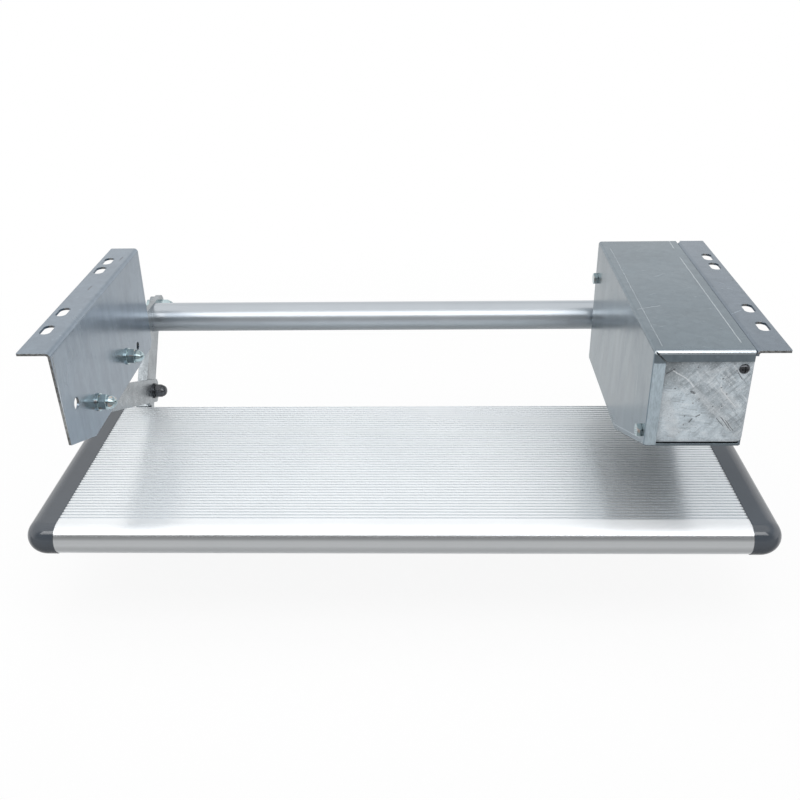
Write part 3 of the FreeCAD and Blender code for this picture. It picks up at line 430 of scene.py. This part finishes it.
def galvanised(name, base, dark, marks):
    """Zinc-coated sheet: cloudy spangle, fine scratches, a soft mirror and its own marks."""
    material, tree, shader = new_material(name)
    plain = place(tree)
    facing = axes(tree, tree.nodes.new("ShaderNodeNewGeometry").outputs["True Normal"])
    upright = rise(tree, calc(tree, "ABSOLUTE", facing[2]), *UPRIGHT_FACING)
    clouds = noise(tree, plain, scale=9.0, detail=5.0, rough=0.6, distortion=0.6)
    slanted = place(tree, scale=(1.0, 1.0, 0.35), turn=(0.3, 0.2, 0.1))
    smear = noise(tree, slanted, scale=22.0, detail=6.0, rough=0.65, distortion=0.8)
    drawn_down = place(tree, scale=(1.0, 1.0, 0.14))
    streak = noise(tree, drawn_down, scale=150.0, detail=5.0, rough=0.65, distortion=0.4)
    streak_share = calc(tree, "ADD", 0.20, both(tree, upright, 0.25))
    grain = spangle(tree, plain, scale=150.0)
    grain_fine = spangle(tree, plain, scale=420.0)
    colour = ramp(tree, clouds, [(0.30, dark), (0.70, base)])
    for pattern, dark_at, base_at, share in ((smear, 0.35, 0.65, 0.35),
                                             (streak, 0.40, 0.58, streak_share),
                                             (grain, 0.0, 1.0, 0.24),
                                             (grain_fine, 0.0, 1.0, 0.14)):
        shades = ramp(tree, pattern, [(dark_at, dark), (base_at, base)])
        colour = mix(tree, colour, shades, share)
    lines = either(tree, fine_lines(tree, turn=(0.2, 0.5, 0.9), seed=3.0),
                   fine_lines(tree, turn=(1.1, 0.1, 2.2), seed=11.0))
    colour = paint(tree, colour, brighter(base), lines, 0.30)
    roughness = grey(tree, ramp(tree, smear, [(0.30, 0.17), (0.72, 0.29)]))
    colour, roughness, metallic, height = marks(tree, plain, facing, colour, roughness)
    link(tree, colour, shader.inputs["Base Color"])
    link(tree, grey(tree, roughness), shader.inputs["Roughness"])
    link(tree, metallic, shader.inputs["Metallic"])
    waves = noise(tree, plain, scale=16.0, detail=3.0)
    normal = soft_edges(tree, radius=0.0006)
    normal = bump(tree, waves, strength=0.12, distance=0.004, normal=normal)
    normal = bump(tree, grain, strength=0.10, distance=0.0006, normal=normal)
    normal = bump(tree, lines, strength=0.25, distance=0.0004, normal=normal)
    normal = bump(tree, height, strength=0.6, distance=0.0005, normal=normal)
    link(tree, normal, shader.inputs["Normal"])
    return material


def top_marks(tree, x, y, z):
    """Scores and specks on the faces that lie level at the top."""
    level = rise(tree, z, *TOP_FACES_Z)
    point = plane_point(tree, x, y)
    bright = both(tree, strokes(tree, point, TOP_BRIGHT), level)
    dark = both(tree, strokes(tree, point, TOP_DARK), level)
    return bright, dark


def panel_hatch(tree, colour, upper_right, lower_left):
    """Fine brushed lines, crossed in the upper right and nearly level in the lower left."""
    for turn, seed, where in ((0.75, 5.0, upper_right),
                              (-0.80, 17.0, upper_right),
                              (1.45, 29.0, lower_left)):
        stretched = place(tree, scale=(1.0, 1.0, 0.11), turn=(turn, 0.0, 0.0))
        shifted = vector_calc(tree, "ADD", stretched, (seed, seed, seed)).outputs[0]
        hatch = noise(tree, shifted, scale=520.0, detail=3.0, rough=0.6)
        colour = paint(tree, colour, HATCH_PALE, rise(tree, hatch, 0.54, 0.64), where, 0.35)
        colour = paint(tree, colour, HATCH_DARK, rise(tree, hatch, 0.42, 0.34), where, 0.40)
    return colour


def panel_colours(tree, plain, point, mottle, dark_lines):
    """Oxidised front panel: mottled, parted by a slanting line, with hatch, scratches, crumbs and
    painted shade in its upper left corner.
    """
    y, z = axes(tree, plain)[1:]
    blotch = noise(tree, plain, scale=24.0, detail=4.0, rough=0.55, distortion=0.5)
    crumbs = noise(tree, plain, scale=900.0, detail=4.0, rough=0.75)
    slant = calc(tree, "ADD", z, both(tree, y, PANEL_SLOPE))
    lower_left = rise(tree, slant, *PANEL_LOWER_LEFT)
    upper_right = rise(tree, slant, *PANEL_UPPER_RIGHT)
    corner = both(tree, rise(tree, y, *PANEL_CORNER_Y), rise(tree, z, *PANEL_CORNER_Z))
    colour = ramp(tree, mottle, PANEL_GREYS)
    colour = paint(tree, colour, PANEL_PALE, lower_left, 0.40)
    colour = paint(tree, colour, PANEL_DULL, upper_right, 0.22)
    colour = panel_hatch(tree, colour, upper_right, lower_left)
    colour = paint(tree, colour, BLOTCH_DARK, rise(tree, blotch, 0.54, 0.40), 0.30)
    # Painted shade in the panel's upper left corner.
    colour = paint(tree, colour, CORNER_SHADE, corner, 0.85)
    colour = paint(tree, colour, BAND_PALE, strokes(tree, point, PANEL_BAND), 0.45)
    colour = paint(tree, colour, SCRATCH_PALE, strokes(tree, point, PANEL_BRIGHT), 0.55)
    colour = paint(tree, colour, SCRATCH_DARK, dark_lines, 0.8)
    colour = paint(tree, colour, LOW_EDGE_DARK, rise(tree, z, *PANEL_LOW_EDGE_Z), 0.4)
    colour = paint(tree, colour, CRUMB_PALE, rise(tree, crumbs, 0.56, 0.66), 0.5)
    return paint(tree, colour, CRUMB_DARK, rise(tree, crumbs, 0.42, 0.30), 0.75)


def bracket_marks(tree, plain, facing, colour, roughness):
    """The oxidised front panel, marks on flanges and plate, and the dark cut ends."""
    x, y, z = axes(tree, plain)
    panel = both(tree, rise(tree, x, *PANEL_FROM_BEHIND_X), rise(tree, z, *PANEL_TOP_Z),
                 rise(tree, x, *PANEL_FROM_AHEAD_X))
    turned = place(tree, scale=(1.0, 1.0, 1.9), turn=(0.75, 0.0, 0.0))
    mottle = noise(tree, turned, scale=75.0, detail=8.0, rough=0.68, distortion=0.5)
    point = plane_point(tree, y, z)
    dark_lines = strokes(tree, point, PANEL_DARK + PANEL_DOTS)
    oxidised = panel_colours(tree, plain, point, mottle, dark_lines)
    colour = paint(tree, colour, BLACK, rise(tree, y, *RIGHT_BRACKET_Y), 0.17)
    colour = mix(tree, colour, oxidised, panel)
    roughness = mix(tree, roughness, 0.42, panel)
    metallic = calc(tree, "SUBTRACT", 1.0, both(tree, panel, 0.62))

    top_bright, top_dark = top_marks(tree, x, y, z)
    plate_dark = both(tree, strokes(tree, plane_point(tree, x, z), PLATE_DARK), rise(tree, y, *PLATE_Y))
    colour = paint(tree, colour, brighter(ZINC), top_bright, 0.7)
    colour = paint(tree, colour, SPECK_DARK, either(tree, top_dark, plate_dark), 0.75)

    bare_parts = either(tree, rise(tree, y, *CUT_ENDS_Y), rise(tree, z, *CUT_ENDS_Z))
    end_faces = rise(tree, calc(tree, "ABSOLUTE", facing[0]), *CUT_FACING)
    ends = both(tree, end_faces, bare_parts)
    crystals = noise(tree, plain, scale=420.0, detail=3.0, rough=0.6)
    speckle = grey(tree, ramp(tree, crystals, [(0.42, 0.0), (0.58, 1.0)]))
    colour = paint(tree, colour, mix(tree, CUT_DARK, CUT_PALE, speckle), ends, 0.85)
    roughness = mix(tree, roughness, 0.45, ends)

    pits = either(tree, both(tree, dark_lines, panel), top_dark)
    height = calc(tree, "SUBTRACT", both(tree, mottle, panel, 0.6), both(tree, pits, 0.8))
    return colour, roughness, metallic, height


def cover_marks(tree, plain, facing, colour, roughness):
    """Scores on the cover's top and side, its dull front lips, a painted highlight on its front fold
    and painted shade on its underside.
    """
    x, y, z = axes(tree, plain)
    top_bright, top_dark = top_marks(tree, x, y, z)
    point = plane_point(tree, x, z)
    side = rise(tree, y, *COVER_SIDE_Y)
    side_bright = both(tree, strokes(tree, point, COVER_BRIGHT), side)
    side_dark = both(tree, strokes(tree, point, COVER_DARK), side)
    colour = paint(tree, colour, SCORE_PALE, either(tree, top_bright, side_bright), 0.8)
    colour = paint(tree, colour, SPECK_DARK, either(tree, top_dark, side_dark), 0.75)

    front = rise(tree, x, *COVER_LIP_X)
    lip_top = both(tree, front, rise(tree, z, *COVER_LIP_TOP_Z))
    lip_side = both(tree, front, rise(tree, z, *COVER_LIP_SIDE_Z))
    drawn_down = place(tree, scale=(1.0, 1.0, 0.25))
    speckle = noise(tree, drawn_down, scale=900.0, detail=4.0, rough=0.7)
    colour = paint(tree, colour, ramp(tree, speckle, LIP_GREYS), lip_side, 0.8)
    metallic = calc(tree, "SUBTRACT", 1.0, both(tree, lip_side, 0.7))
    roughness = mix(tree, roughness, 0.40, lip_side)
    roughness = mix(tree, roughness, 0.16, lip_top)

    # Painted highlight along the fold at the top of the front lip.
    fold = both(tree, rise(tree, x, *COVER_FOLD_X), rise(tree, z, *COVER_FOLD_Z))
    colour = paint(tree, colour, FOLD_HIGHLIGHT, fold, 0.8)
    # Painted shade: faces of the cover that look down are darkened towards black.
    colour = paint(tree, colour, BLACK, rise(tree, facing[2], *UNDERSIDE_SHADE_FACING), 0.55)
    scores = either(tree, top_bright, top_dark, side_bright)
    height = calc(tree, "SUBTRACT", 0.5, both(tree, scores, 0.5))
    return colour, roughness, metallic, height


def zinc_steel(name, base, rough, mottled=0.3, tint=0.0):
    """Plated fastener or link: fairly even, with a cloudy film, warm in places, and handling marks."""
    material, tree, shader = new_material(name)
    plain = place(tree)
    film = noise(tree, plain, scale=60.0, rough=0.6)
    darker = tuple(channel * (1.0 - mottled) for channel in base)
    warm = rise(tree, noise(tree, plain, scale=190.0, detail=2.0), 0.60, 0.68)
    colour = ramp(tree, film, [(0.32, darker), (0.68, base)])
    link(tree, paint(tree, colour, WARM_FILM, warm, tint), shader.inputs["Base Color"])
    fine = noise(tree, plain, scale=300.0, detail=3.0, rough=0.6)
    satin = ramp(tree, fine, [(0.3, rough * 0.75), (0.7, rough * 1.3)])
    link(tree, grey(tree, satin), shader.inputs["Roughness"])
    shader.inputs["Metallic"].default_value = 1.0
    normal = soft_edges(tree, radius=0.0004)
    normal = bump(tree, fine, strength=0.08, distance=0.0003, normal=normal)
    link(tree, normal, shader.inputs["Normal"])
    return material


def drawn_tube(name):
    """Zinc-coated tube with faint lengthwise drawing lines, and a duller underside with painted shade.
    """
    material, tree, shader = new_material(name)
    plain = place(tree)
    lengthwise = place(tree, scale=(900.0, 6.0, 900.0))
    lines = noise(tree, lengthwise, scale=1.0, detail=3.0)
    film = noise(tree, plain, scale=18.0, rough=0.55)
    below = rise(tree, axes(tree, plain)[2], *BAR_UNDER_Z)
    colour = ramp(tree, film, BAR_ZINC)
    colour = mix(tree, colour, ramp(tree, lines, [(0.3, 0.42), (0.7, 0.58)]), 0.15)
    # Painted shade: the lower half of the tube is darker.
    link(tree, paint(tree, colour, BAR_UNDER_SHADE, below, 0.6), shader.inputs["Base Color"])
    satin = ramp(tree, film, [(0.3, 0.29), (0.7, 0.34)])
    link(tree, grey(tree, mix(tree, satin, 0.48, below)), shader.inputs["Roughness"])
    shader.inputs["Metallic"].default_value = 1.0
    link(tree, bump(tree, lines, strength=0.05, distance=0.0003), shader.inputs["Normal"])
    return material


def anodised(name):
    """Satin anodised extrusion: painted shade in its grooves, a smooth strip, a faint film and a
    brushed sheen.
    """
    material, tree, shader = new_material(name)
    plain = place(tree)
    x, y, z = axes(tree, plain)
    waves = noise(tree, plain, scale=60.0, detail=2.0)
    stretched = place(tree, scale=(0.5, 1.0, 1.0))
    film = noise(tree, stretched, scale=14.0, rough=0.55, distortion=0.3)
    grooves = both(tree, rise(tree, z, *GROOVES_BELOW_Z), rise(tree, z, *GROOVES_ABOVE_Z),
                   rise(tree, x, *GROOVES_X))
    colour = ramp(tree, film, ALLOY)
    colour = mix(tree, colour, ramp(tree, waves, [(0.3, 0.84), (0.7, 0.97)]), 0.05)
    # Painted shade: the grooves between the ribs are darker.
    link(tree, paint(tree, colour, GROOVE_SHADE, grooves, 0.65), shader.inputs["Base Color"])

    top = rise(tree, z, *TREAD_TOP_Z)
    satin = ramp(tree, film, [(0.3, 0.30), (0.7, 0.34)])
    link(tree, grey(tree, mix(tree, 0.17, satin, top)), shader.inputs["Roughness"])
    right_side = rise(tree, y, *TREAD_RIGHT_Y)
    matt_ribs = calc(tree, "SUBTRACT", 0.5, both(tree, right_side, 0.28))
    matt_strip = calc(tree, "ADD", 0.5, both(tree, right_side, 0.25))
    matt_parts = mix(tree, matt_strip, matt_ribs, rise(tree, x, *TREAD_RIBS_X))
    matt = both(tree, top, grey(tree, matt_parts))
    link(tree, calc(tree, "SUBTRACT", 1.0, matt), shader.inputs["Metallic"])

    run = tree.nodes.new("ShaderNodeTangent")
    run.direction_type = "RADIAL"
    run.axis = "Y"
    shader.inputs["Anisotropic"].default_value = 0.75
    link(tree, run.outputs["Tangent"], shader.inputs["Tangent"])
    link(tree, bump(tree, waves, strength=0.05, distance=0.0002), shader.inputs["Normal"])
    return material


def moulded(name, base, rough, grain=0.05, gloss=0.5):
    """Moulded plastic or rubber with a fine eggshell grain."""
    material, tree, shader = new_material(name)
    plain = place(tree)
    film = noise(tree, plain, scale=26.0, rough=0.6)
    darker = tuple(channel * 0.86 for channel in base)
    satin = ramp(tree, film, [(0.3, rough), (0.7, rough * 1.25)])
    link(tree, ramp(tree, film, [(0.3, darker), (0.7, base)]), shader.inputs["Base Color"])
    link(tree, grey(tree, satin), shader.inputs["Roughness"])
    shader.inputs["IOR"].default_value = 1.5
    shader.inputs["Specular IOR Level"].default_value = gloss
    fine = noise(tree, plain, scale=1200.0, detail=2.0)
    link(tree, bump(tree, fine, strength=grain, distance=0.0002), shader.inputs["Normal"])
    return material


def painted(name, base):
    """Painted steel: as moulded plastic, under a thin clear coat."""
    material = moulded(name, base, rough=0.3, grain=0.03)
    material.node_tree.nodes["Principled BSDF"].inputs["Coat Weight"].default_value = 0.3
    return material


MATERIALS = {
    "bracket_sheet": galvanised("bracket_sheet_look", ZINC, ZINC_DARK, bracket_marks),
    "cover_sheet": galvanised("cover_sheet_look", COVER_ZINC, COVER_ZINC_DARK, cover_marks),
    "link_steel": zinc_steel("link_steel_look", LINK_STEEL, rough=0.30),
    "bar_steel": drawn_tube("bar_steel_look"),
    "tread_alloy": anodised("tread_alloy_look"),
    "cap_plastic": moulded("cap_plastic_look", CAP_GREY, rough=0.10, grain=0.03, gloss=0.9),
    "gearbox_alloy": zinc_steel("gearbox_alloy_look", GEARBOX_ALLOY, rough=0.45),
    "motor_paint": painted("motor_paint_look", MOTOR_BLACK),
    "grommet_rubber": moulded("grommet_rubber_look", RUBBER_BLACK, rough=0.55, grain=0.2),
    "shaft_steel": zinc_steel("shaft_steel_look", SHAFT_STEEL, rough=0.25),
    "bush_brass": zinc_steel("bush_brass_look", BUSH_BRASS, rough=0.25),
    "bright_zinc": zinc_steel("bright_zinc_look", BRIGHT_ZINC, rough=0.05, mottled=0.5, tint=0.5),
    "dark_zinc": zinc_steel("dark_zinc_look", DARK_ZINC, rough=0.2),
}


def dress_nodes():
    """Give each CAD node the finish of its material slot."""
    slots = {row["node"]: row["material_slot"] for row in frame["record"]["subparts"]}
    for name, thing in nodes.items():
        thing.data.materials.clear()
        thing.data.materials.append(MATERIALS[slots[name]])


def make_camera():
    """Camera that looks back and down at the step, turned by its yaw and roll."""
    cos_pitch = math.cos(CAMERA_PITCH)
    sin_pitch = math.sin(CAMERA_PITCH)
    cos_yaw = math.cos(CAMERA_YAW)
    sin_yaw = math.sin(CAMERA_YAW)
    forward = Vector((-cos_yaw * cos_pitch, -sin_yaw * cos_pitch, -sin_pitch))
    level_right = Vector((-sin_yaw, cos_yaw, 0.0))
    level_down = Vector((cos_yaw * sin_pitch, sin_yaw * sin_pitch, -cos_pitch))
    right = level_right * math.cos(CAMERA_ROLL) + level_down * math.sin(CAMERA_ROLL)
    down = level_down * math.cos(CAMERA_ROLL) - level_right * math.sin(CAMERA_ROLL)
    data = bpy.data.cameras.new("camera")
    data.sensor_width = CAMERA_SENSOR
    data.lens = CAMERA_LENS
    data.clip_end = CAMERA_REACH
    camera = bpy.data.objects.new("camera", data)
    bpy.context.scene.collection.objects.link(camera)
    turn = Matrix((right, -down, -forward)).transposed().to_4x4()
    camera.matrix_world = Matrix.Translation(CAMERA_PLACE) @ turn
    bpy.context.scene.camera = camera


def white_share(tree, camera_share, glossy_share):
    """How much of the plain white each kind of ray sees."""
    path = tree.nodes.new("ShaderNodeLightPath")
    mirror = either(tree, path.outputs["Is Glossy Ray"], path.outputs["Is Transmission Ray"])
    seen = calc(tree, "MULTIPLY", path.outputs["Is Camera Ray"], camera_share)
    return either(tree, seen, calc(tree, "MULTIPLY", mirror, glossy_share))


def floor_look():
    """White with a soft shadow for the camera, and for mirrors duller towards the camera's side."""
    material, tree, shader = new_material("floor_look")
    ground = place(tree)
    x = axes(tree, ground)[0]
    shade = mix(tree, FLOOR_NEAR, FLOOR_FRONT, rise(tree, x, *FLOOR_FRONT_X))
    shade = mix(tree, shade, FLOOR_FAR, rise(tree, x, *FLOOR_FAR_X))
    shade = mix(tree, shade, WHITE, white_share(tree, camera_share=1.0, glossy_share=0.0))
    link(tree, shade, shader.inputs["Base Color"])
    shader.inputs["Roughness"].default_value = 0.9
    shader.inputs["Specular IOR Level"].default_value = 0.0
    glow = tree.nodes.new("ShaderNodeEmission")
    link(tree, shade, glow.inputs["Color"])
    distance = vector_calc(tree, "LENGTH", ground).outputs["Value"]
    beyond = rise(tree, distance, *FLOOR_SHADOW_REACH)
    camera_white = calc(tree, "ADD", FLOOR_WHITE_CAMERA, both(tree, beyond, 1 - FLOOR_WHITE_CAMERA))
    amount = white_share(tree, camera_white, FLOOR_WHITE_GLOSSY)
    surface = pick(tree, amount, shader.outputs[0], glow.outputs[0])
    link(tree, surface, tree.nodes["Material Output"].inputs["Surface"])
    return material


def make_floor():
    """Pale floor just below the place that the step reaches when it is out."""
    half = FLOOR_SIZE / 2
    z = LOWEST - STEP_DROP - FLOOR_GAP
    corners = [(-half, -half, z), (half, -half, z), (half, half, z), (-half, half, z)]
    mesh = bpy.data.meshes.new("floor")
    mesh.from_pydata(corners, [], [(0, 1, 2, 3)])
    mesh.materials.append(floor_look())
    floor = bpy.data.objects.new("floor", mesh)
    bpy.context.scene.collection.objects.link(floor)


def background(tree, colour):
    """Surroundings of one colour or pattern."""
    node = tree.nodes.new("ShaderNodeBackground")
    plug(tree, colour, node.inputs["Color"])
    return node.outputs[0]


def make_world():
    """Plain white for the camera, even soft light on the object, and grey walls for its mirrors."""
    world = bpy.data.worlds.new("world")
    bpy.context.scene.world = world
    world.use_nodes = True
    tree = world.node_tree
    tree.nodes.clear()
    output = tree.nodes.new("ShaderNodeOutputWorld")
    coords = tree.nodes.new("ShaderNodeTexCoord")
    x, y, z = axes(tree, coords.outputs["Generated"])
    front = both(tree, rise(tree, x, *FRONT_WALL_X), rise(tree, z, *FRONT_WALL_Z))
    side = both(tree, rise(tree, y, *SIDE_WALL_Y), rise(tree, z, *SIDE_WALL_LOW_Z),
                rise(tree, z, *SIDE_WALL_HIGH_Z))
    walls = paint(tree, ramp(tree, z, BACK_WALL_GREYS), SIDE_WALL, side, 0.8)
    walls = mix(tree, walls, ramp(tree, z, FRONT_WALL_GREYS), front)
    mirrored = white_share(tree, camera_share=0.0, glossy_share=1.0)
    lit = pick(tree, mirrored, background(tree, ROOM_DIFFUSE), background(tree, walls))
    path = tree.nodes.new("ShaderNodeLightPath")
    seen = pick(tree, path.outputs["Is Camera Ray"], lit, background(tree, WHITE))
    link(tree, seen, output.inputs["Surface"])


def soft_light(name, spot, target, size, level, mirrored):
    """Soft box with a width and a height, unseen by the camera. At level 1 it is as bright as white."""
    data = bpy.data.lights.new(name, "AREA")
    data.shape = "RECTANGLE"
    data.size = size[0]
    data.size_y = size[1]
    data.energy = level * math.pi * size[0] * size[1]
    lamp = bpy.data.objects.new(name, data)
    bpy.context.scene.collection.objects.link(lamp)
    lamp.location = spot
    lamp.visible_camera = False
    lamp.visible_glossy = mirrored
    lamp.rotation_euler = (Vector(target) - Vector(spot)).to_track_quat("-Z", "Y").to_euler()


make_camera()
make_floor()
make_world()
for lamp_name, lamp_values in LAMPS.items():
    soft_light(lamp_name, **lamp_values)
dress_nodes()

bpy.context.scene.view_settings.view_transform = "Standard"
